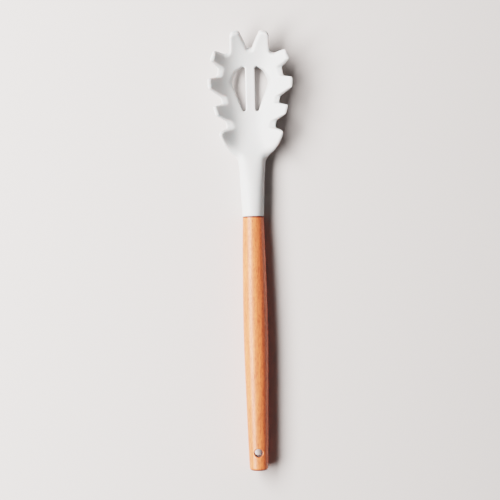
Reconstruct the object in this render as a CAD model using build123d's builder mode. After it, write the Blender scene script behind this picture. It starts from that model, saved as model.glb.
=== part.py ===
from build123d import *
from math import asin, cos, degrees, hypot, radians, sin
import os

# Pasta server: a silicone head with eight tines, moulded over a stiff core, on a turned beech handle.
# Millimetres. X runs across the tool, +Y along it to the tines, +Z up out of the bowl.
# The origin is under the middle of the tool, on the surface that it lies on.

# Lengths along the tool
handle_length = 191.5
neck_length = 42.3
bowl_length = 98.0
head_length = neck_length + bowl_length
overall_length = handle_length + head_length
tail_y = -overall_length / 2
joint_y = tail_y + handle_length
bowl_y = joint_y + neck_length

# Wooden handle: places along it and radii, as shares of its length and of its belly's radius
belly_radius = 9.25
rest_place_share = 0.28
rest_radius_share = 0.976
handle_outline_shares = [
    (0.0, 0.854),
    (0.13, 0.925),
    (rest_place_share, rest_radius_share),
    (0.45, 1.0),
    (0.73, 0.9),
    (0.86, 0.835),
    (1.0, 0.74),
]
tail_rounding = 2.2
front_rounding = 0.4
hang_hole_radius = 3.1
hang_hole_inset = 13.7
hang_hole_rounding = 0.6

# The handle rests on the table in front of its belly, so its axis climbs slightly to the tail
joint_height = 8.3
rest_radius = rest_radius_share * belly_radius
handle_tilt = degrees(asin((rest_radius - joint_height) / (rest_place_share * handle_length)))

# Tang of the core, and the bore that it is glued into
tang_radius = 3.6
tang_length = 46.0
tang_groove_depth = 0.8
tang_groove_width = 2.4
tang_groove_count = 5
glue_gap = 0.5
glue_depth = 2.0
bore_radius = tang_radius + glue_gap
bore_length = tang_length + glue_depth

# Bowl. The rim height is where its walls would end without the trimming of the tines
bowl_half_width = 31.6
rim_height = 26.0
rim_lip = 1.3
wall_edge = 0.6
wall_slope = 50.0
under_slope = 58.0

# A section runs flat from the middle, then turns up. These shares of its half width pull its curves
floor_pull_share = 0.6
wall_pull_share = 0.48
under_pull_share = 0.5

# Sections from the joint to the tips: place along the head, height of the top and of the underside
# at the middle, half width, height of the edge, and how far the section has opened from a round neck
# to a bowl. Heights are shares of the rim height, half widths of the bowl's half width.
section_shares = [
    (0.000, 0.629, 0.010, 0.2547, 0.3195, 0.00),
    (0.144, 0.612, 0.013, 0.2830, 0.3180, 0.00),
    (0.250, 0.577, 0.014, 0.3060, 0.3190, 0.02),
    (0.297, 0.552, 0.014, 0.3300, 0.3470, 0.15),
    (0.326, 0.525, 0.012, 0.3920, 0.4150, 0.42),
    (0.354, 0.493, 0.008, 0.5250, 0.5300, 0.66),
    (0.390, 0.450, 0.004, 0.6450, 0.7000, 0.84),
    (0.429, 0.402, -0.002, 0.7200, 0.8700, 0.93),
    (0.473, 0.350, -0.008, 0.7750, 0.9800, 0.98),
    (0.534, 0.288, -0.013, 0.8350, 1.0000, 1.00),
    (0.604, 0.238, -0.014, 0.9150, 1.0000, 1.00),
    (0.668, 0.223, -0.013, 0.9850, 1.0000, 1.00),
    (0.728, 0.240, -0.004, 1.0080, 1.0150, 1.00),
    (0.787, 0.300, 0.040, 1.0080, 1.0750, 1.00),
    (0.846, 0.403, 0.122, 1.0020, 1.1800, 1.00),
    (0.906, 0.555, 0.255, 0.9950, 1.3300, 1.00),
    (0.965, 0.770, 0.450, 0.9850, 1.5400, 1.00),
    (1.025, 1.060, 0.730, 0.9750, 1.8300, 1.00),
]
neck_end_share = 0.25
neck_stations = 3
bowl_stations = 20

# Valleys between the side tines, from the rear: where each drops from the trimmed rim, reaches its
# floor, leaves it and is back at the rim, as shares of the bowl's length, and its height share.
valley_shares = [
    (0.217, 0.250, 0.303, 0.340, 0.473),
    (0.412, 0.440, 0.492, 0.545, 0.446),
    (0.625, 0.646, 0.712, 0.758, 0.546),
]
rear_trim_share = 0.88
front_trim_share = 0.98
shoulder_rounding = 4.5
valley_rounding = 2.2
tip_rounding = 1.3

# Front tines, drawn on a plane that leans back with the bowl's front: shares of the bowl's half
# width across it and of the bowl's length up it. The corners' roundings are shares of the half width.
front_lean = 35.0
front_place_share = 0.847
front_height_share = 0.54
front_shares = [
    (0.055, -0.010),
    (0.244, 0.145),
    (0.462, 0.145),
    (0.472, -0.024),
    (0.596, -0.024),
    (0.850, 0.057),
    (1.080, -0.035),
]
front_rounding_shares = [0.038, 0.089, 0.101, 0.076, 0.076, 0.051, 0.0]

# Drain slots either side of a bar, seen from above: from the bar outwards as shares of the bowl's half
# width, and along the bowl as shares of its length. Their roundings are shares of the half width.
bar_width = 7.2
slot_shares = [(0.0, 0.384), (0.095, 0.384), (0.437, 0.612), (0.272, 0.698), (0.0, 0.742)]
slot_rounding_shares = [0.038, 0.048, 0.221, 0.19, 0.06]
slot_draft_share = 0.33

# Core: the silicone's thickness over it, and how far up the walls it reaches
neck_skin = 2.5
bowl_skin = 1.2
core_reach_share = 0.7


def across(y, height=0.0, tilt=0.0):
    """A plane across the tool at y, facing the tail, with its own up direction leaning by the tilt."""
    lean = radians(tilt)
    return Plane(origin=(0, y, height), x_dir=(1, 0, 0), z_dir=(0, -cos(lean), sin(lean)))


def mirrored(points):
    """The same points on the other side of the tool."""
    return [(-x, z) for x, z in points]


def secant(index, column):
    """The mean slope of a column between a section and the next."""
    here, after = section_shares[index], section_shares[index + 1]
    return (after[column] - here[column]) / (after[0] - here[0])


def slope(index, column):
    """A column's slope at a section: between its neighbours' slopes, and flat where it turns."""
    if index == 0:
        return secant(0, column)
    if index == len(section_shares) - 1:
        return secant(index - 1, column)
    before, after = secant(index - 1, column), secant(index, column)
    if before * after <= 0:
        return 0.0
    return 2 * before * after / (before + after)


def section_at(place):
    """A section's shares at any place along the head, on cubic curves through the given sections."""
    index = max(i for i, row in enumerate(section_shares[:-1]) if row[0] <= place)
    here, after = section_shares[index], section_shares[index + 1]
    span = after[0] - here[0]
    t = (place - here[0]) / span
    keep, take = (1 + 2 * t) * (1 - t) ** 2, (3 - 2 * t) * t**2
    leave, arrive = span * t * (1 - t) ** 2, span * (t - 1) * t**2
    values = []
    for column in range(1, len(here)):
        ends = keep * here[column] + take * after[column]
        values.append(ends + leave * slope(index, column) + arrive * slope(index + 1, column))
    return values


def section_curves(place):
    """The right half of a section's top and underside, as the control points of two curves."""
    top_share, under_share, half_share, edge_share, open_share = section_at(place)
    top = top_share * rim_height - joint_height
    under = under_share * rim_height - joint_height
    half = half_share * bowl_half_width
    edge = edge_share * rim_height - joint_height
    rise = radians(open_share * (wall_slope + 90) - 90)
    fall = radians(90 - open_share * (90 - under_slope))
    outer = half + open_share * rim_lip
    inner_pull = wall_pull_share * half
    outer_pull = under_pull_share * outer
    low = edge - wall_edge
    top_curve = [
        (0, top),
        (floor_pull_share * half, top),
        (half - inner_pull * cos(rise), edge - inner_pull * sin(rise)),
        (half, edge),
    ]
    under_curve = [
        (0, under),
        (floor_pull_share * outer, under),
        (outer - outer_pull * cos(fall), low - outer_pull * sin(fall)),
        (outer, low),
    ]
    return top_curve, under_curve


def shortened(curve, reach):
    """The first part of a curve, up to its reach, by halving the control polygon at that share."""
    first, row = [curve[0]], curve
    while len(row) > 1:
        row = [tuple(a + reach * (b - a) for a, b in zip(p, q)) for p, q in zip(row, row[1:])]
        first.append(row[0])
    return first


def inset(curve, depth):
    """A curve moved sideways by a depth, to its left as it runs."""
    (x0, z0), (x1, z1), (x2, z2), (x3, z3) = curve
    run = hypot(x3 - x2, z3 - z2)
    side_x, side_z = -(z3 - z2) / run * depth, (x3 - x2) / run * depth
    return [(x0, z0 + depth), (x1, z1 + depth), (x2 + side_x, z2 + side_z), (x3 + side_x, z3 + side_z)]


def core_curves(place):
    """The section's two curves inside the skin, ended part of the way up the wall."""
    top_curve, under_curve = section_curves(place)
    open_share = section_at(place)[-1]
    reach = 1 - open_share * (1 - core_reach_share)
    skin = neck_skin + open_share * (bowl_skin - neck_skin)
    return inset(shortened(top_curve, reach), -skin), inset(shortened(under_curve, reach), skin)


def draw_section(top_curve, under_curve):
    """Close the two curves and their mirror images into one outline."""
    Bezier(*top_curve)
    Line(top_curve[-1], under_curve[-1])
    Bezier(*reversed(under_curve))
    Bezier(*mirrored(under_curve))
    Line(mirrored(under_curve)[-1], mirrored(top_curve)[-1])
    Bezier(*reversed(mirrored(top_curve)))


def loft_head(curves, first, last, stations):
    """A length of the head or its core, lofted through evenly spaced sections."""
    sections = []
    for index in range(stations):
        place = first + (last - first) * index / (stations - 1)
        tilt = handle_tilt if place == 0 else 0.0
        plane = across(joint_y + place * head_length, joint_height, tilt)
        with BuildSketch(plane, mode=Mode.PRIVATE) as section:
            with BuildLine():
                draw_section(*curves(place))
            make_face()
        sections.append(section.sketch)
    loft(sections)


def trim_height(place):
    """Height of the trimmed rim at a share of the bowl's length."""
    return (rear_trim_share + place * (front_trim_share - rear_trim_share)) * rim_height


def cut_side_tines(clearance):
    """Trim the rim and cut the valleys between the side tines, straight across the bowl."""
    corners, roundings = [(bowl_y, trim_height(0))], [0]
    for index, (drop, floor_start, floor_end, back, height_share) in enumerate(valley_shares):
        floor = height_share * rim_height
        corners.append((bowl_y + drop * bowl_length, trim_height(drop)))
        corners.append((bowl_y + floor_start * bowl_length, floor))
        corners.append((bowl_y + floor_end * bowl_length, floor))
        corners.append((bowl_y + back * bowl_length, trim_height(back)))
        first_rounding = shoulder_rounding if index == 0 else tip_rounding
        roundings += [first_rounding, valley_rounding, valley_rounding, tip_rounding]
    beyond = bowl_y + 2 * bowl_length
    high = 4 * rim_height
    corners += [(beyond, trim_height(2)), (beyond, high), (bowl_y, high)]
    roundings += [0, 0, 0]
    with BuildSketch(Plane.YZ) as side_view:
        with BuildLine():
            FilletPolyline(*corners, radius=roundings, close=True)
        make_face()
        if clearance:
            offset(amount=clearance)
    extrude(side_view.sketch, amount=2 * bowl_half_width, both=True, mode=Mode.SUBTRACT)


def cut_front_tines(clearance):
    """Cut the gap between the two front tines, their ends, and the notches beside them."""
    right = [(x * bowl_half_width, v * bowl_length) for x, v in front_shares]
    right.append((right[-1][0], bowl_length))
    corners = right + list(reversed(mirrored(right)))
    right_roundings = [share * bowl_half_width for share in front_rounding_shares]
    roundings = right_roundings + [0, 0] + list(reversed(right_roundings))
    lean = radians(front_lean)
    place = bowl_y + front_place_share * bowl_length
    leaning = Plane(
        origin=(0, place, front_height_share * rim_height),
        x_dir=(1, 0, 0),
        z_dir=(0, -sin(lean), cos(lean)),
    )
    with BuildSketch(leaning) as front_view:
        with BuildLine():
            FilletPolyline(*corners, radius=roundings, close=True)
        make_face()
        if clearance:
            offset(amount=clearance)
    extrude(front_view.sketch, amount=bowl_length / 2, both=True, mode=Mode.SUBTRACT)


def draw_slot(side, narrowing_share):
    """One drain slot from above: straight along the bar, slanting out, then rounded at the front."""
    reach = (1 - narrowing_share) * bowl_half_width
    corners = []
    for x_share, y_share in slot_shares:
        corners.append((side * (bar_width / 2 + x_share * reach), bowl_y + y_share * bowl_length))
    roundings = [share * reach for share in slot_rounding_shares]
    FilletPolyline(*corners, radius=roundings, close=True)


def cut_slots():
    """Cut both drain slots. Their outer walls close in downwards, and the bar's sides are upright."""
    for side in (1, -1):
        outlines = []
        for height, narrowing_share in ((rim_height / 2, 0), (0, slot_draft_share)):
            with BuildSketch(Plane.XY.offset(height)) as outline:
                with BuildLine():
                    draw_slot(side, narrowing_share)
                make_face()
            outlines.append(outline.sketch)
        loft(outlines, ruled=True, mode=Mode.SUBTRACT)


joint_plane = across(joint_y, joint_height, handle_tilt)
handle_axis = Axis(joint_plane.origin, joint_plane.z_dir)
handle_plan = Plane(origin=joint_plane.origin, x_dir=joint_plane.z_dir, z_dir=joint_plane.y_dir)

with BuildPart() as core:
    loft_head(core_curves, 0, neck_end_share, neck_stations)
    loft_head(core_curves, neck_end_share, section_shares[-1][0], bowl_stations)
    cut_side_tines(bowl_skin)
    cut_front_tines(bowl_skin)
    with BuildSketch(Plane.XY):
        for side in (1, -1):
            with BuildLine():
                draw_slot(side, 0)
            make_face()
        offset(amount=bowl_skin)
    extrude(amount=rim_height, both=True, mode=Mode.SUBTRACT)
    with BuildSketch(joint_plane):
        Circle(tang_radius)
    extrude(amount=tang_length)
    groove_step = tang_length / (tang_groove_count + 1)
    with BuildSketch(handle_plan):
        for index in range(tang_groove_count):
            with Locations(((index + 1) * groove_step, tang_radius)):
                Rectangle(tang_groove_width, 2 * tang_groove_depth)
    revolve(axis=handle_axis, mode=Mode.SUBTRACT)

with BuildPart() as head:
    loft_head(section_curves, 0, neck_end_share, neck_stations)
    loft_head(section_curves, neck_end_share, section_shares[-1][0], bowl_stations)
    cut_side_tines(0)
    cut_front_tines(0)
    cut_slots()
    with BuildSketch(Plane.XY):
        Rectangle(4 * bowl_half_width, 2 * overall_length)
    extrude(amount=-rim_height, mode=Mode.SUBTRACT)
    add(core.part, mode=Mode.SUBTRACT)

with BuildPart() as handle:
    with BuildSketch(handle_plan):
        outline = [(x * handle_length, r * belly_radius) for x, r in handle_outline_shares]
        with BuildLine():
            Line((0, 0), outline[0])
            Spline(*outline)
            Line(outline[-1], (handle_length, 0))
            Line((handle_length, 0), (0, 0))
        make_face()
    revolve(axis=handle_axis)
    rims = handle.edges().filter_by(GeomType.CIRCLE).sort_by(Axis.Y)
    fillet(rims[0], radius=tail_rounding)
    fillet(rims[-1], radius=front_rounding)
    with BuildSketch(joint_plane):
        Circle(bore_radius)
    extrude(amount=bore_length, mode=Mode.SUBTRACT)
    with BuildSketch(handle_plan):
        with Locations((handle_length - hang_hole_inset, 0)):
            Circle(hang_hole_radius)
    extrude(amount=2 * belly_radius, both=True, mode=Mode.SUBTRACT)
    hole_wall = handle.faces(Select.LAST).filter_by(GeomType.CYLINDER)
    fillet(hole_wall.edges().filter_by(GeomType.LINE, reverse=True), radius=hang_hole_rounding)

with BuildPart() as adhesive:
    with BuildSketch(joint_plane):
        Circle(bore_radius)
    extrude(amount=bore_length)
    add(core.part, mode=Mode.SUBTRACT)

os.makedirs("parts", exist_ok=True)
head.part.label = "silicone_head"
export_step(head.part, "parts/silicone_head.step")
core.part.label = "nylon_core"
export_step(core.part, "parts/nylon_core.step")
handle.part.label = "wooden_handle"
export_step(handle.part, "parts/wooden_handle.step")
adhesive.part.label = "tang_adhesive"
export_step(adhesive.part, "parts/tang_adhesive.step")
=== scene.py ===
"""Pasta server with a silicone head and a turned beech handle, dressed for its portrait."""

import math

import bpy
import numpy as np
from bpy.props import FloatProperty, FloatVectorProperty, PointerProperty
from mathutils import Matrix, Vector


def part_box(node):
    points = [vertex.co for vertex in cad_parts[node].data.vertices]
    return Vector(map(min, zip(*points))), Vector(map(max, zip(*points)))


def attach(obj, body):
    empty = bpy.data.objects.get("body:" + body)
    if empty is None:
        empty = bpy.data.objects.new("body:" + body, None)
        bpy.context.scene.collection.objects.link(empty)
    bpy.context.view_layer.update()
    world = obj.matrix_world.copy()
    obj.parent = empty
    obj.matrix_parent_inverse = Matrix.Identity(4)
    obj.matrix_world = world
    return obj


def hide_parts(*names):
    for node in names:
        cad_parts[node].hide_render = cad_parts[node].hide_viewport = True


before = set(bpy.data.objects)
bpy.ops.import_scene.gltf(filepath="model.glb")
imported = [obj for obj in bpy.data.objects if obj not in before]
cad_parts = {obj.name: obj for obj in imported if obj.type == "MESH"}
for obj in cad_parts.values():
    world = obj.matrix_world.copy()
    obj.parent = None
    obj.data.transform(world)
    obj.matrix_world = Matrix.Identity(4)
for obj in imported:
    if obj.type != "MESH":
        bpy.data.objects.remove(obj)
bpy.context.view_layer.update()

bl_info = {
    "name": "Pasta Server",
    "version": (1, 0, 0),
    "blender": (4, 5, 0),
    "location": "View3D > Sidebar > Pasta Server",
    "description": "Moulded silicone head, turned beech handle and a plain studio for a pasta server",
    "category": "Object",
}

# The tool's own layout in metres. It lies along Y with its tail at the low end and its bowl open upwards.
JOINT_Y = 0.0256
BOWL_Y = 0.0679
HEAD_LENGTH = 0.1403
BOWL_LENGTH = 0.098
JOINT_HEIGHT = 0.0083
HANDLE_LENGTH = 0.1915
TAIL_Y = JOINT_Y - HANDLE_LENGTH
HANG_HOLE_Y = -0.1522
HANG_HOLE_RADIUS = 0.0031

# The handle rests on the floor at this share of its length, so its axis climbs slightly to the tail.
REST_PLACE = 0.28
BELLY_RADIUS = 0.00925
REST_RADIUS = 0.976 * BELLY_RADIUS
HANDLE_TILT = math.asin((REST_RADIUS - JOINT_HEIGHT) / (REST_PLACE * HANDLE_LENGTH))

# The bowl's wall: how far its edge leans out past the inside, how far it thickens inwards, and how high its
# blunt edge is. The slopes are in degrees from the level.
BOWL_HALF_WIDTH = 0.0316
RIM_HEIGHT = 0.026
RIM_LIP = 0.0013
RIM_INSIDE = 0.0009
WALL_EDGE = 0.0006
WALL_SLOPE = 50.0
UNDER_SLOPE = 58.0

# Shares of a section's half width that pull its curves along the middle, up the wall and under it.
MIDDLE_PULL, WALL_PULL, UNDER_PULL = 0.6, 0.48, 0.5

# Sections from joint to tips: place along the head, height of the top and of the underside at the
# middle, half width, height of the edge, and how far the round neck has opened into a bowl. Heights are
# shares of the rim's height, and half widths of the bowl's half width.
HEAD_SECTIONS = np.array([
    (0.000, 0.629, 0.010, 0.2547, 0.3195, 0.00),
    (0.144, 0.612, 0.013, 0.2830, 0.3180, 0.00),
    (0.250, 0.577, 0.014, 0.3060, 0.3190, 0.02),
    (0.297, 0.552, 0.014, 0.3300, 0.3470, 0.15),
    (0.326, 0.525, 0.012, 0.3920, 0.4150, 0.42),
    (0.354, 0.493, 0.008, 0.5250, 0.5300, 0.66),
    (0.390, 0.450, 0.004, 0.6450, 0.7000, 0.84),
    (0.429, 0.402, -0.002, 0.7200, 0.8700, 0.93),
    (0.473, 0.350, -0.008, 0.7750, 0.9800, 0.98),
    (0.534, 0.288, -0.013, 0.8350, 1.0000, 1.00),
    (0.604, 0.238, -0.014, 0.9150, 1.0000, 1.00),
    (0.668, 0.223, -0.013, 0.9850, 1.0000, 1.00),
    (0.728, 0.240, -0.004, 1.0080, 1.0150, 1.00),
    (0.787, 0.300, 0.040, 1.0080, 1.0750, 1.00),
    (0.846, 0.403, 0.122, 1.0020, 1.1800, 1.00),
    (0.906, 0.555, 0.255, 0.9950, 1.3300, 1.00),
    (0.965, 0.770, 0.450, 0.9850, 1.5400, 1.00),
    (1.025, 1.060, 0.730, 0.9750, 1.8300, 1.00),
])

# Side view of the tines: where each valley drops, is level, stops being level and is back at the rim, along
# the bowl, and its height. The rim is trimmed to a line between two shares of its height.
SIDE_VALLEYS = [
    (0.217, 0.250, 0.303, 0.340, 0.473),
    (0.412, 0.440, 0.492, 0.545, 0.446),
    (0.625, 0.646, 0.712, 0.758, 0.546),
]
REAR_TRIM, FRONT_TRIM = 0.88, 0.98
SHOULDER_ROUNDING, VALLEY_ROUNDING, TIP_ROUNDING = 0.0045, 0.0022, 0.0013

# Front tines, seen square to the bowl's leaning front: across, up, and the corner's rounding. They begin
# at a share of the bowl's length.
FRONT_LEAN = math.radians(35.0)
FRONT_PLACE, FRONT_HEIGHT = 0.847, 0.54
FRONT_START = 0.72
FRONT_OUTLINE = [
    (0.055, -0.010, 0.038),
    (0.244, 0.145, 0.089),
    (0.462, 0.145, 0.101),
    (0.472, -0.024, 0.076),
    (0.596, -0.024, 0.076),
    (0.850, 0.057, 0.051),
    (1.080, -0.035, 0.0),
]

# One drain slot from above: out from the bar, along the bowl, and the corner's rounding. Both slots lie
# between two shares of the bowl's length, and close in by a share towards the underside.
BAR_SIDE = 0.0036
SLOT_OUTLINE = [
    (0.0, 0.384, 0.038),
    (0.095, 0.384, 0.048),
    (0.437, 0.612, 0.221),
    (0.272, 0.698, 0.19),
    (0.0, 0.742, 0.06),
]
SLOTS_START, SLOTS_END = 0.34, 0.79
SLOT_CLOSING = 0.33

# How much rounder the front tines' edges and the joint's edge are than the others.
FRONT_EDGE_SHARE, JOINT_EDGE_SHARE = 2.8, 0.6

# The corners of a grid square, in turn round it.
SQUARE = ((0, 0), (1, 0), (1, 1), (0, 1))

# How the surface's points slide onto it: times, the least slope to trust, and the farthest move in steps.
SLIDES, LEAST_SLOPE, FARTHEST_SLIDE = 3, 0.3, 0.4

# Steps of air before and beyond the head in its grid, where the grid starts under the floor, which lies
# between two of its layers, and how deep a filled pinch is.
AIR_BEFORE, AIR_BEYOND, GRID_UNDER, PINCH_DEPTH = 2.5, 3, 2.25, 0.05

# The camera stands over this point, and the floor reaches this far each way.
CAMERA_X, CAMERA_Y = -0.00297, 0.0004
SENSOR_WIDTH = 36.0
FLOOR_REACH = 3.0


class HeadSettings(bpy.types.PropertyGroup):
    """Moulding and finish of the silicone head."""

    edge_rounding: FloatProperty(
        name="Edge Rounding", description="Radius that the mould leaves on the tines' edges",
        default=0.0008, min=0.0002, max=0.003, unit="LENGTH")
    grid_step: FloatProperty(
        name="Surface Step", description="Distance between the surface's points",
        default=0.0005, min=0.0003, max=0.002, unit="LENGTH")
    silicone_colour: FloatVectorProperty(
        name="Silicone Colour", description="Colour of the white silicone",
        default=(0.67, 0.67, 0.67), size=3, min=0, max=1, subtype="COLOR")
    silicone_roughness: FloatProperty(
        name="Silicone Roughness", description="How matte the silicone is",
        default=0.46, min=0, max=1, subtype="FACTOR")


class HandleSettings(bpy.types.PropertyGroup):
    """Colour and lacquer of the beech handle."""

    pale_colour: FloatVectorProperty(
        name="Pale Wood", description="Colour of the early wood",
        default=(0.93, 0.232, 0.098), size=3, min=0, max=1, subtype="COLOR")
    dark_colour: FloatVectorProperty(
        name="Dark Wood", description="Colour of the late wood",
        default=(0.42, 0.085, 0.042), size=3, min=0, max=1, subtype="COLOR")
    lacquer: FloatProperty(
        name="Lacquer", description="Strength of the clear coat",
        default=0.25, min=0, max=1, subtype="FACTOR")


class StudioSettings(bpy.types.PropertyGroup):
    """Camera, light and floor."""

    camera_height: FloatProperty(
        name="Camera Height", description="Height of the camera above the floor",
        default=1.2, min=0.3, max=5, unit="LENGTH")
    view_width: FloatProperty(
        name="View Width", description="Width of floor that the picture shows",
        default=0.38075, min=0.05, max=2, unit="LENGTH")
    turn: FloatProperty(
        name="Turn", description="How far the tool lies turned in the picture",
        default=math.radians(1.33), subtype="ANGLE")
    window_distance: FloatProperty(
        name="Window Distance", description="Distance of the broad light from the tool",
        default=1.3, min=0.5, max=10, unit="LENGTH")
    window_elevation: FloatProperty(
        name="Window Elevation", description="Height of the broad light's middle above the horizon",
        default=math.radians(46.5), subtype="ANGLE")
    window_azimuth: FloatProperty(
        name="Window Azimuth", description="How far the broad light stands towards the tips",
        default=math.radians(11.0), subtype="ANGLE")
    window_width: FloatProperty(
        name="Window Width", description="Width of the broad light",
        default=2.0, min=0.05, max=10, unit="LENGTH")
    window_height: FloatProperty(
        name="Window Height", description="Height of the broad light",
        default=0.64, min=0.05, max=10, unit="LENGTH")
    window_power: FloatProperty(
        name="Window Power", description="Power of the broad light",
        default=29.5, min=0, max=1000, unit="POWER")
    fill_strength: FloatProperty(
        name="Fill Strength", description="Strength of the light from all around",
        default=0.045, min=0, max=5)
    exposure: FloatProperty(
        name="Exposure", description="Exposure in stops", default=1.15, min=-5, max=5)
    floor_colour: FloatVectorProperty(
        name="Floor Colour", description="Colour of the plain floor",
        default=(0.59, 0.552, 0.54), size=3, min=0, max=1, subtype="COLOR")


def smooth_rows(place):
    """Shares of the head's sections at any places along it: cubic curves through the rows, whose slope at
    a row is the harmonic mean of the slopes either side, and flat where a share turns."""
    places, values = HEAD_SECTIONS[:, 0], HEAD_SECTIONS[:, 1:]
    steps = np.diff(places)[:, None]
    secants = np.diff(values, axis=0) / steps
    slopes = np.empty_like(values)
    slopes[0], slopes[-1] = secants[0], secants[-1]
    before, after = secants[:-1], secants[1:]
    same = before * after > 0
    slopes[1:-1] = np.where(same, 2 * before * after / np.where(same, before + after, 1), 0)
    i = np.clip(np.searchsorted(places, place, side="right") - 1, 0, len(places) - 2)
    t = ((place - places[i]) / steps[i, 0])[:, None]
    span = steps[i]
    return (
        (1 + 2 * t) * (1 - t) ** 2 * values[i] + (3 - 2 * t) * t**2 * values[i + 1]
        + span * t * (1 - t) ** 2 * slopes[i] + span * (t - 1) * t**2 * slopes[i + 1]
    )


def section_outlines(y, points=48):
    """The right half of the head's section at each y, as points from the middle of its top, out to its edge
    and back to the middle of its underside. Each side of it is one cubic curve: flat at the middle, then
    turning up to the edge at the wall's own slope."""
    place = np.clip((y - JOINT_Y) / HEAD_LENGTH, 0, HEAD_SECTIONS[-1, 0])
    top, under, half, edge, opening = smooth_rows(place).T
    top, under, edge = top * RIM_HEIGHT, under * RIM_HEIGHT, edge * RIM_HEIGHT
    outer, low = half * BOWL_HALF_WIDTH + opening * RIM_LIP, edge - WALL_EDGE
    half = half * BOWL_HALF_WIDTH - opening * RIM_INSIDE
    rise = np.radians(opening * (WALL_SLOPE + 90) - 90)
    fall = np.radians(90 - opening * (90 - UNDER_SLOPE))
    pull, pull_under = WALL_PULL * half, UNDER_PULL * outer
    middle = np.zeros_like(half)
    upper = np.array([(middle, top), (MIDDLE_PULL * half, top),
                      (half - pull * np.cos(rise), edge - pull * np.sin(rise)), (half, edge)])
    lower = np.array([(middle, under), (MIDDLE_PULL * outer, under),
                      (outer - pull_under * np.cos(fall), low - pull_under * np.sin(fall)), (outer, low)])
    t = np.linspace(0, 1, points)
    blend = np.array([(1 - t) ** 3, 3 * t * (1 - t) ** 2, 3 * t**2 * (1 - t), t**3])
    upper, lower = np.einsum("pt,pcy->ytc", blend, upper), np.einsum("pt,pcy->ytc", blend, lower)
    return np.concatenate((upper, lower[:, ::-1]), axis=1)


def rounded_outline(corners, roundings, points_per_corner=9):
    """A closed outline with each corner replaced by an arc tangent to both its sides."""
    corners = np.array(corners, float)
    roundings = np.array(roundings, float)[:, None]
    before, after = np.roll(corners, 1, axis=0) - corners, np.roll(corners, -1, axis=0) - corners
    before /= np.linalg.norm(before, axis=1, keepdims=True)
    after /= np.linalg.norm(after, axis=1, keepdims=True)
    half = np.arccos(np.clip((before * after).sum(1), -1, 1))[:, None] / 2
    bisector = before + after
    bisector /= np.linalg.norm(bisector, axis=1, keepdims=True)
    centre = corners + bisector * roundings / np.sin(half)
    first, last = corners + before * roundings / np.tan(half), corners + after * roundings / np.tan(half)
    t = np.linspace(0, 1, points_per_corner)[None, :, None]
    spread = (first - centre)[:, None] * (1 - t) + (last - centre)[:, None] * t
    length = np.linalg.norm(spread, axis=2, keepdims=True)
    arc = centre[:, None] + spread / np.maximum(length, 1e-12) * roundings[:, None]
    return arc.reshape(-1, 2)


def outline_distance(points, outline):
    """Distance of each point from a closed outline, positive inside it. The nearest point is sought on
    every side of the outline, and a point is inside when a level ray from it crosses an odd number of
    sides."""
    u, v = points
    nearest = np.full(u.shape, np.inf)
    inside = np.zeros(u.shape, bool)
    ends = np.roll(outline, -1, axis=0)
    for (x0, y0), (x1, y1) in zip(outline, ends):
        dx, dy = x1 - x0, y1 - y0
        length = dx * dx + dy * dy
        if length < 1e-16:
            continue
        t = np.clip(((u - x0) * dx + (v - y0) * dy) / length, 0, 1)
        nearest = np.minimum(nearest, (u - x0 - t * dx) ** 2 + (v - y0 - t * dy) ** 2)
        if y0 != y1:
            inside ^= ((y0 > v) != (y1 > v)) & (u < x0 + (v - y0) * dx / (y1 - y0))
    return np.where(inside, 1, -1) * np.sqrt(nearest)


def round_max(a, b, radius):
    """The larger of two distances, with the edge where they cross turned to a round of that radius."""
    apart = np.maximum(radius - np.abs(a - b), 0)
    return np.maximum(a, b) + apart * apart / (4 * np.maximum(radius, 1e-9))


def side_outline():
    """The air above the rim and in the side valleys, in the side view of y by z."""
    def rim(place):
        """Height of the trimmed rim at a share of the bowl's length."""
        return (REAR_TRIM + place * (FRONT_TRIM - REAR_TRIM)) * RIM_HEIGHT

    corners, roundings = [(BOWL_Y, rim(0))], [0]
    for number, (drop, start, end, back, height) in enumerate(SIDE_VALLEYS):
        corners += [
            (BOWL_Y + drop * BOWL_LENGTH, rim(drop)), (BOWL_Y + start * BOWL_LENGTH, height * RIM_HEIGHT),
            (BOWL_Y + end * BOWL_LENGTH, height * RIM_HEIGHT), (BOWL_Y + back * BOWL_LENGTH, rim(back)),
        ]
        first = SHOULDER_ROUNDING if number == 0 else TIP_ROUNDING
        roundings += [first, VALLEY_ROUNDING, VALLEY_ROUNDING, TIP_ROUNDING]
    far = BOWL_Y + 2 * BOWL_LENGTH
    corners += [(far, rim(2)), (far, 4 * RIM_HEIGHT), (BOWL_Y, 4 * RIM_HEIGHT)]
    return rounded_outline(corners, roundings + [0, 0, 0])


def front_outline():
    """The air round the two front tines, in the plane that leans with them."""
    right = [(x * BOWL_HALF_WIDTH, v * BOWL_LENGTH, r * BOWL_HALF_WIDTH) for x, v, r in FRONT_OUTLINE]
    right.append((right[-1][0], BOWL_LENGTH, 0.0))
    both = right + [(-x, v, r) for x, v, r in reversed(right)]
    return rounded_outline([(x, v) for x, v, _ in both], [r for _, _, r in both])


def slot_outline():
    """One drain slot from above, on the right of the bar."""
    corners = [(BAR_SIDE + x * BOWL_HALF_WIDTH, BOWL_Y + y * BOWL_LENGTH) for x, y, _ in SLOT_OUTLINE]
    return rounded_outline(corners, [r * BOWL_HALF_WIDTH for _, _, r in SLOT_OUTLINE])


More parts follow.
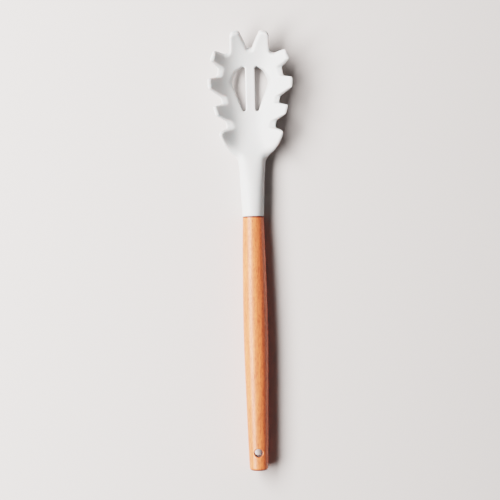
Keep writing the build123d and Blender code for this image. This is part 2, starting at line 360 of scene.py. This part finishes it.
def section_distance(x, y, z):
    """Distance of every grid point from its own section's curves, negative inside. The nearest point is
    sought on every short side of the curves, and a level ray from a point inside crosses them an odd number
    of times. The section is the same on both sides of the tool, so only the right half is worked out."""
    outline = section_outlines(y)
    across = np.abs(x)[None, :, None]
    high = z[None, None, :]
    nearest = np.full((len(y), len(x), len(z)), np.inf)
    inside = np.zeros(nearest.shape, bool)
    for start, end in zip(outline.transpose(1, 2, 0)[:-1], outline.transpose(1, 2, 0)[1:]):
        (x0, z0), (x1, z1) = start[:, :, None, None], end[:, :, None, None]
        dx, dz = x1 - x0, z1 - z0
        t = ((across - x0) * dx + (high - z0) * dz) / np.maximum(dx * dx + dz * dz, 1e-16)
        t = np.clip(t, 0, 1)
        nearest = np.minimum(nearest, (across - x0 - t * dx) ** 2 + (high - z0 - t * dz) ** 2)
        level = np.where(z0 == z1, 1, z1 - z0)
        inside ^= ((z0 > high) != (z1 > high)) & (across < x0 + (high - z0) * dx / level)
    return (np.where(inside, -1, 1) * np.sqrt(nearest)).transpose(1, 0, 2).astype(np.float32)


def softened(field):
    """The field with each value mixed along every axis: half of itself and a quarter of each neighbour. Flat
    places stay where they are and sharp edges are eased."""
    for axis in range(3):
        padded = np.pad(field, [(1, 1) if a == axis else (0, 0) for a in range(3)], mode="edge")
        part = [slice(None)] * 3
        part[axis] = slice(0, -2)
        before = padded[tuple(part)]
        part[axis] = slice(2, None)
        field = 0.5 * field + 0.25 * (before + padded[tuple(part)])
    return field


def front_air(x, y, z):
    """How far each grid point lies in the air round the front tines. Its place up their leaning plane is
    (y - place) cos lean + (z - height) sin lean."""
    place, height = BOWL_Y + FRONT_PLACE * BOWL_LENGTH, FRONT_HEIGHT * RIM_HEIGHT
    up = (y[:, None] - place) * math.cos(FRONT_LEAN) + (z[None] - height) * math.sin(FRONT_LEAN)
    shape = (len(x), len(y), len(z))
    points = (np.broadcast_to(x[:, None, None], shape), np.broadcast_to(up[None], shape))
    return outline_distance(points, front_outline()).astype(np.float32)


def slot_air(x, y, z):
    """How far each grid point lies in the air of the drain slot on its side. Below half the rim's height the
    slot narrows towards the bar, so a point's place out from the bar is divided by what is left there."""
    left = 1 - SLOT_CLOSING * np.clip(1 - z / (RIM_HEIGHT / 2), 0, 1)
    out = BAR_SIDE + (np.abs(x)[:, None, None] - BAR_SIDE) / left
    shape = (len(x), len(y), len(z))
    points = (np.broadcast_to(out, shape), np.broadcast_to(y[None, :, None], shape))
    return outline_distance(points, slot_outline()).astype(np.float32)


def head_field(x, y, z, rounding):
    """Distance from the head's surface at every grid point, negative inside it. The head is what lies inside
    its sections, outside the side view's and the front view's air, outside the slots, ahead of the joint and
    above the floor. All but the floor meet in rounded edges, softened once more."""
    field = section_distance(x, y, z)
    side_air = outline_distance(np.meshgrid(y, z, indexing="ij"), side_outline())
    field = round_max(field, side_air[None].astype(np.float32), rounding)
    ahead = y > BOWL_Y + FRONT_START * BOWL_LENGTH
    front = front_air(x, y[ahead], z)
    field[:, ahead] = round_max(field[:, ahead], front, rounding * FRONT_EDGE_SHARE)
    slotted = (y > BOWL_Y + SLOTS_START * BOWL_LENGTH) & (y < BOWL_Y + SLOTS_END * BOWL_LENGTH)
    field[:, slotted] = round_max(field[:, slotted], slot_air(x, y[slotted], z), rounding)
    back, up = JOINT_Y - y[:, None], z[None] - JOINT_HEIGHT
    behind = back * math.cos(HANDLE_TILT) + up * math.sin(HANDLE_TILT)
    field = round_max(field, behind[None].astype(np.float32), rounding * JOINT_EDGE_SHARE)
    return np.maximum(softened(field), -z[None, None].astype(np.float32))


def without_pinches(field, depth):
    """The field with both air corners filled, to a small depth, in each grid square whose solid corners meet
    only diagonally, so that the surface never touches itself along a line."""
    while True:
        solid = field < 0
        filled = np.zeros_like(solid)
        for one, two in ((0, 1), (0, 2), (1, 2)):
            corners = []
            for shift_one, shift_two in SQUARE:
                part = [slice(None)] * 3
                part[one] = slice(shift_one, field.shape[one] - 1 + shift_one)
                part[two] = slice(shift_two, field.shape[two] - 1 + shift_two)
                corners.append(tuple(part))
            a, b, c, d = (solid[corner] for corner in corners)
            pinched = (a == c) & (b == d) & (a != b)
            for corner in corners:
                filled[corner] |= pinched
        filled &= ~solid
        if not filled.any():
            return field
        field = np.where(filled, np.float32(-depth), field)


def sample_grid(values, points):
    """Values of a grid at points given in grid steps, each mixed from the eight corners of its cell."""
    cell = np.clip(points.astype(int), 0, np.array(values.shape) - 2)
    part = points - cell
    total = 0
    for corner in range(8):
        shift = np.array([corner & 1, corner >> 1 & 1, corner >> 2 & 1])
        weight = np.prod(np.where(shift, part, 1 - part), axis=1)
        total = total + weight * values[tuple((cell + shift).T)]
    return total


def cells_round(edges, others):
    """The four cells round each grid edge, in turn. The other two axes are the ones across the edge."""
    for shift_one, shift_two in SQUARE:
        cell = edges.copy()
        cell[:, others[0]] -= shift_one
        cell[:, others[1]] -= shift_two
        yield cell


def surface_from_field(field, low, step):
    """Points and four-sided faces of the surface where a grid of distances is zero. A cell that the surface
    crosses gets one point, at the mean of the crossings on its edges, and each grid edge that it crosses
    gets a face between the four cells round it. The points then slide onto the surface along its slope."""
    solid = field < 0
    shape = np.array(field.shape) - 1
    total, count = np.zeros((*shape, 3), np.float32), np.zeros(shape, np.int16)
    crossings = []
    for axis in range(3):
        first = tuple(slice(0, -1) if a == axis else slice(None) for a in range(3))
        second = tuple(slice(1, None) if a == axis else slice(None) for a in range(3))
        changes = solid[first] != solid[second]
        edges = np.argwhere(changes)
        here, beyond = field[first][changes], field[second][changes]
        position = edges.astype(np.float32)
        position[:, axis] += here / (here - beyond)
        others = [a for a in range(3) if a != axis]
        for cell in cells_round(edges, others):
            inside = np.all((cell >= 0) & (cell < shape), axis=1)
            np.add.at(total, tuple(cell[inside].T), position[inside])
            np.add.at(count, tuple(cell[inside].T), 1)
        crossings.append((axis, others, edges, solid[first][changes]))
    used = count > 0
    numbers = np.full(shape, -1)
    numbers[used] = np.arange(used.sum())
    points = (total[used] / count[used][:, None]).astype(float)
    faces = []
    for axis, others, edges, starts_inside in crossings:
        quads = np.stack([numbers[tuple(cell.T)] for cell in cells_round(edges, others)], axis=1)
        outward = starts_inside if axis != 1 else ~starts_inside
        quads[~outward] = quads[~outward][:, ::-1]
        faces.append(quads)
    slope = np.stack(np.gradient(field, step), axis=-1)
    for _ in range(SLIDES):
        normals = np.stack([sample_grid(slope[..., a], points) for a in range(3)], axis=1)
        length = np.linalg.norm(normals, axis=1, keepdims=True)
        distance = sample_grid(field, points)[:, None]
        move = -distance * normals / np.maximum(length, LEAST_SLOPE) ** 2 / step
        points += np.clip(move, -FARTHEST_SLIDE, FARTHEST_SLIDE)
    return np.array(low) + points * step, np.concatenate(faces)


def piece_from_surface(name, points, faces):
    """A mesh piece at the origin from whole arrays of points and four-sided faces, shaded smooth."""
    mesh = bpy.data.meshes.new(name)
    mesh.vertices.add(len(points))
    mesh.vertices.foreach_set("co", points.astype(np.float32).ravel())
    mesh.loops.add(faces.size)
    mesh.loops.foreach_set("vertex_index", faces.astype(np.int32).ravel())
    mesh.polygons.add(len(faces))
    mesh.polygons.foreach_set("loop_start", np.arange(0, faces.size, 4, dtype=np.int32))
    mesh.update(calc_edges=True)
    mesh.validate()
    mesh.polygons.foreach_set("use_smooth", np.ones(len(mesh.polygons), bool))
    piece = bpy.data.objects.new(name, mesh)
    bpy.context.scene.collection.objects.link(piece)
    return piece


class Finish:
    """A new node material with its shader, and short ways to add nodes and to work values out with them. A
    node's input takes a number, a colour or another node's output."""

    def __init__(self, name):
        self.material = bpy.data.materials.new(name)
        self.material.use_nodes = True
        self.tree = self.material.node_tree
        self.shader = self.tree.nodes["Principled BSDF"]

    def feed(self, node, inputs):
        """Set a node's inputs, by name or by number."""
        for key, value in inputs.items():
            if isinstance(value, bpy.types.NodeSocket):
                self.tree.links.new(value, node.inputs[key])
            else:
                node.inputs[key].default_value = value

    def add(self, kind, inputs, **properties):
        """A new node with its properties and inputs set."""
        node = self.tree.nodes.new(kind)
        for key, value in properties.items():
            setattr(node, key, value)
        self.feed(node, inputs)
        return node

    def place(self):
        """A point's place on the piece, in metres."""
        return self.add("ShaderNodeTexCoord", {}).outputs["Object"]

    def noise(self, scale, detail, roughness, distortion=0.0, stretch=1.0):
        """Noise on the piece. A stretch below 1 draws it out along the tool."""
        place = self.place()
        if stretch != 1.0:
            mapping = self.add("ShaderNodeMapping", {"Vector": place, "Scale": (1, stretch, 1)})
            place = mapping.outputs["Vector"]
        noise = self.add("ShaderNodeTexNoise", {
            "Vector": place, "Scale": scale, "Detail": detail, "Roughness": roughness,
            "Distortion": distortion,
        })
        return noise.outputs["Fac"]

    def spread(self, value, low, high, to_low=0.0, to_high=1.0):
        """The value's span from low to high stretched over another span, and held at its ends."""
        node = self.add("ShaderNodeMapRange", {
            "Value": value, "From Min": low, "From Max": high, "To Min": to_low, "To Max": to_high,
        })
        return node.outputs["Result"]

    def maths(self, operation, *values):
        """One operation on one or two values."""
        return self.add("ShaderNodeMath", dict(enumerate(values)), operation=operation).outputs["Value"]

    def mixed(self, share, first, second, blend="MIX"):
        """The first colour where the share is 0, and where it is 1 the second, blended as told."""
        inputs = {"Factor": share, "A": first, "B": second}
        return self.add("ShaderNodeMix", inputs, data_type="RGBA", blend_type=blend).outputs["Result"]

    def darkened(self, colour, share, tint):
        """The colour multiplied by a tint in proportion to a share."""
        return self.mixed(share, colour, (*tint, 1), blend="MULTIPLY")

    def relief(self, height, strength, distance, over=None):
        """Normals for a fine relief, on its own or over another one."""
        inputs = {"Height": height, "Strength": strength, "Distance": distance}
        if over is not None:
            inputs["Normal"] = over
        return self.add("ShaderNodeBump", inputs).outputs["Normal"]


def silicone_material(settings):
    """Satin white silicone: a soft glow under the skin, faint clouding in its colour, patches of finer and
    coarser sheen from handling, and the mould's very fine grain."""
    finish = Finish("white_silicone")
    colour, roughness = settings.silicone_colour, settings.silicone_roughness
    clouded = (colour[0] * 0.955, colour[1] * 0.95, colour[2] * 0.945, 1)
    clouds = finish.spread(finish.noise(scale=38.0, detail=4.0, roughness=0.55), 0.3, 0.62)
    wipes = finish.noise(scale=120.0, detail=3.0, roughness=0.5)
    ripple = finish.relief(
        finish.noise(scale=210.0, detail=2.0, roughness=0.4), strength=0.35, distance=0.00012)
    grain = finish.relief(
        finish.noise(scale=5200.0, detail=2.0, roughness=0.6), strength=0.25, distance=0.00003, over=ripple)
    finish.feed(finish.shader, {
        "Base Color": finish.mixed(clouds, clouded, (*colour, 1)),
        "Roughness": finish.spread(wipes, 0.3, 0.7, roughness - 0.05, roughness + 0.08),
        "Normal": grain,
        "Subsurface Weight": 0.9,
        "Subsurface Radius": (1.0, 0.82, 0.78),
        "Subsurface Scale": 0.0025,
        "Specular IOR Level": 0.42,
    })
    return finish.material


def growth_rings(finish):
    """Rings round a heart that lies well outside the handle, drawn out along it."""
    heart = finish.add("ShaderNodeMapping", {
        "Vector": finish.place(), "Location": (0.047, 0.0, 0.021), "Scale": (1, 0.09, 1),
    })
    rings = finish.add("ShaderNodeTexWave", {
        "Vector": heart.outputs["Vector"], "Scale": 105.0, "Distortion": 1.6, "Detail": 2.0,
        "Detail Scale": 3.0,
    }, wave_type="RINGS", rings_direction="Y", wave_profile="SAW")
    return rings.outputs["Fac"]


def painted_end_and_hole_shade(finish, colour):
    """The wood's colour with painted shade: darker at the edge by the joint, at the tail's end and on the
    hanging hole's wall, standing in for the shade in the seam, under the end and inside the hole. A point's
    distance from the hole's axis is the root of x squared and (y - hole) squared."""
    place = finish.add("ShaderNodeSeparateXYZ", {"Vector": finish.place()})
    across, along = place.outputs["X"], place.outputs["Y"]
    front = finish.spread(along, JOINT_Y - 0.0011, JOINT_Y - 0.0005)
    tail = finish.spread(along, TAIL_Y + 0.0015, TAIL_Y + 0.0006)
    # Painted shade at the seam by the joint and at the tail's end.
    colour = finish.darkened(colour, finish.maths("MAXIMUM", front, tail), (0.22, 0.15, 0.12))
    squares = [
        finish.maths("POWER", across, 2.0),
        finish.maths("POWER", finish.maths("SUBTRACT", along, HANG_HOLE_Y), 2.0),
    ]
    from_axis = finish.maths("SQRT", finish.maths("ADD", *squares))
    # Painted shade on the hanging hole's wall.
    wall = finish.spread(from_axis, HANG_HOLE_RADIUS + 0.0003, HANG_HOLE_RADIUS)
    return finish.darkened(colour, wall, (0.2, 0.13, 0.1))


def beech_material(settings):
    """Lacquered beech: growth rings cut lengthwise by the turning, fibres and soft streaks along the grain,
    a silky mottle across it, short dark flecks, and fine pores under a thin clear coat."""
    finish = Finish("lacquered_beech")
    fibres = finish.noise(scale=3000.0, detail=3.0, roughness=0.6, stretch=0.03)
    streaks = finish.noise(scale=700.0, detail=4.0, roughness=0.6, distortion=0.3, stretch=0.045)
    mottle = finish.noise(scale=900.0, detail=3.0, roughness=0.6, stretch=0.35)
    specks = finish.noise(scale=2400.0, detail=1.0, roughness=0.4, stretch=0.12)
    flecks = finish.spread(specks, 0.6, 0.68, 0.0, 0.7)
    tone = finish.maths("MULTIPLY", growth_rings(finish), -0.1)
    for value, share in ((fibres, 0.3), (streaks, 0.36), (mottle, 0.34)):
        tone = finish.maths("ADD", tone, finish.maths("MULTIPLY", finish.spread(value, 0.3, 0.7), share))
    ramp = finish.add("ShaderNodeValToRGB", {"Fac": tone})
    dark, pale = ramp.color_ramp.elements
    dark.position, dark.color = 0.0, (*settings.dark_colour, 1)
    pale.position, pale.color = 0.68, (*settings.pale_colour, 1)
    flecked = finish.darkened(ramp.outputs["Color"], flecks, (0.62, 0.48, 0.4))
    pores = finish.maths("SUBTRACT", fibres, flecks)
    finish.feed(finish.shader, {
        # The base colour carries painted shade at the seam, at the tail's end and in the hanging hole.
        "Base Color": painted_end_and_hole_shade(finish, flecked),
        "Normal": finish.relief(pores, strength=0.35, distance=0.00007),
        "Roughness": finish.spread(mottle, 0.3, 0.7, 0.48, 0.36),
        "Specular IOR Level": 0.35,
        "Coat Weight": settings.lacquer,
        "Coat Roughness": 0.36,
    })
    return finish.material


def inner_material(name, colour, roughness, scale):
    """A hidden inner piece's plastic: a fine noise clouds its colour and roughens its surface."""
    finish = Finish(name)
    noise = finish.noise(scale=scale, detail=3.0, roughness=0.5)
    finish.feed(finish.shader, {
        "Base Color": finish.mixed(noise, (*[0.9 * part for part in colour], 1), (*colour, 1)),
        "Normal": finish.relief(noise, strength=0.2, distance=0.00005),
        "Roughness": roughness,
    })
    return finish.material


def dress_node(name, material):
    """Give a carried-over CAD node its material in each of its slots."""
    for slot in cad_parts[name].material_slots:
        slot.material = material


def lay_floor(scene, settings):
    """A plain square floor at the height that the tool lies on."""
    finish = Finish("plain_floor")
    finish.feed(finish.shader, {
        "Base Color": (*settings.floor_colour, 1), "Roughness": 0.75, "Specular IOR Level": 0.2,
    })
    mesh = bpy.data.meshes.new("floor")
    corners = [(x * FLOOR_REACH, y * FLOOR_REACH, 0) for x, y in ((-1, -1), (1, -1), (1, 1), (-1, 1))]
    mesh.from_pydata(corners, [], [(0, 1, 2, 3)])
    mesh.materials.append(finish.material)
    floor = bpy.data.objects.new("floor", mesh)
    scene.collection.objects.link(floor)


def light_tool(scene, settings):
    """A faint light from all around, and a broad one on the left. The broad one faces the tool's middle from
    (-cos azimuth, sin azimuth, tan elevation), scaled to its distance."""
    scene.world = bpy.data.worlds.new("studio")
    scene.world.use_nodes = True
    fill = scene.world.node_tree.nodes["Background"]
    fill.inputs["Color"].default_value = (1.0, 0.93, 0.92, 1)
    fill.inputs["Strength"].default_value = settings.fill_strength
    light = bpy.data.lights.new("window", "AREA")
    light.shape, light.size, light.size_y = "RECTANGLE", settings.window_width, settings.window_height
    light.energy, light.color = settings.window_power, (1.0, 0.985, 0.965)
    azimuth, elevation = settings.window_azimuth, settings.window_elevation
    towards = Vector((-math.cos(azimuth), math.sin(azimuth), math.tan(elevation))).normalized()
    window = bpy.data.objects.new("window", light)
    window.location = settings.window_distance * towards
    window.rotation_euler = towards.to_track_quat("Z", "Y").to_euler()
    scene.collection.objects.link(window)


def place_camera(scene, settings):
    """A camera that looks straight down, turned so that the tool lies at its angle in the picture."""
    lens = bpy.data.cameras.new("camera")
    lens.sensor_width = SENSOR_WIDTH
    lens.lens = SENSOR_WIDTH * settings.camera_height / settings.view_width
    lens.clip_start, lens.clip_end = 0.01, 20.0
    turn = settings.turn
    right = Vector((math.cos(turn), -math.sin(turn), 0))
    up = Vector((math.sin(turn), math.cos(turn), 0))
    look = Matrix((right, up, Vector((0, 0, 1)))).transposed().to_4x4()
    look.translation = Vector((CAMERA_X, CAMERA_Y, settings.camera_height))
    camera = bpy.data.objects.new("camera", lens)
    camera.matrix_world = look
    scene.collection.objects.link(camera)
    scene.camera = camera


class PASTA_OT_head(bpy.types.Operator):
    """Mould the silicone head as one soft-edged surface over its CAD solid"""

    bl_idname = "pasta.head"
    bl_label = "Silicone Head"

    def execute(self, context):
        settings = context.scene.pasta_head
        step = settings.grid_step
        low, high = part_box("silicone_head")
        before, beyond = AIR_BEFORE * step, AIR_BEYOND * step
        x_reach = math.ceil((high[0] + before) / step)
        x = np.arange(-x_reach, x_reach + 1) * step
        y = np.arange(low[1] - before, high[1] + beyond, step)
        z = np.arange(-GRID_UNDER * step, high[2] + beyond, step)
        field = head_field(x, y, z, settings.edge_rounding)
        field = without_pinches(field, PINCH_DEPTH * step)
        points, faces = surface_from_field(field, (x[0], y[0], z[0]), step)
        piece = piece_from_surface("silicone_skin", points, faces)
        piece.data.materials.append(silicone_material(settings))
        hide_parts("silicone_head")
        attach(piece, "root")
        return {"FINISHED"}


class PASTA_OT_handle(bpy.types.Operator):
    """Finish the turned handle in lacquered beech"""

    bl_idname = "pasta.handle"
    bl_label = "Beech Handle"

    def execute(self, context):
        dress_node("wooden_handle", beech_material(context.scene.pasta_handle))
        return {"FINISHED"}


class PASTA_OT_inner(bpy.types.Operator):
    """Finish the core and the adhesive, which the skin and the handle hide"""

    bl_idname = "pasta.inner"
    bl_label = "Inner Pieces"

    def execute(self, context):
        dress_node("nylon_core", inner_material("glass_filled_nylon", (0.78, 0.77, 0.72), 0.6, 900.0))
        dress_node("tang_adhesive", inner_material("cured_adhesive", (0.72, 0.6, 0.36), 0.3, 400.0))
        return {"FINISHED"}


class PASTA_OT_studio(bpy.types.Operator):
    """Set up the plain floor, the soft light from the left and the camera straight above"""

    bl_idname = "pasta.studio"
    bl_label = "Studio"

    def execute(self, context):
        scene, settings = context.scene, context.scene.pasta_studio
        lay_floor(scene, settings)
        light_tool(scene, settings)
        place_camera(scene, settings)
        scene.view_settings.view_transform = "Filmic"
        scene.view_settings.look = "High Contrast"
        scene.view_settings.exposure = settings.exposure
        return {"FINISHED"}


class PASTA_PT_panel(bpy.types.Panel):
    """Sizes, colours and steps of the pasta server"""

    bl_idname = "PASTA_PT_panel"
    bl_label = "Pasta Server"
    bl_space_type = "VIEW_3D"
    bl_region_type = "UI"
    bl_category = "Pasta Server"

    def draw(self, context):
        layout = self.layout
        for settings, operators in (
            (context.scene.pasta_head, ("pasta.head",)),
            (context.scene.pasta_handle, ("pasta.handle", "pasta.inner")),
            (context.scene.pasta_studio, ("pasta.studio",)),
        ):
            box = layout.box()
            for name in type(settings).__annotations__:
                box.prop(settings, name)
            for operator in operators:
                box.operator(operator)


CLASSES = (
    HeadSettings, HandleSettings, StudioSettings,
    PASTA_OT_head, PASTA_OT_handle, PASTA_OT_inner, PASTA_OT_studio, PASTA_PT_panel,
)


def register():
    for cls in CLASSES:
        bpy.utils.register_class(cls)
    bpy.types.Scene.pasta_head = PointerProperty(type=HeadSettings)
    bpy.types.Scene.pasta_handle = PointerProperty(type=HandleSettings)
    bpy.types.Scene.pasta_studio = PointerProperty(type=StudioSettings)


def unregister():
    del bpy.types.Scene.pasta_head, bpy.types.Scene.pasta_handle, bpy.types.Scene.pasta_studio
    for cls in reversed(CLASSES):
        bpy.utils.unregister_class(cls)


def main():
    """Register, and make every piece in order."""
    register()
    bpy.ops.pasta.head()
    bpy.ops.pasta.handle()
    bpy.ops.pasta.inner()
    bpy.ops.pasta.studio()


if __name__ == "__main__":
    main()
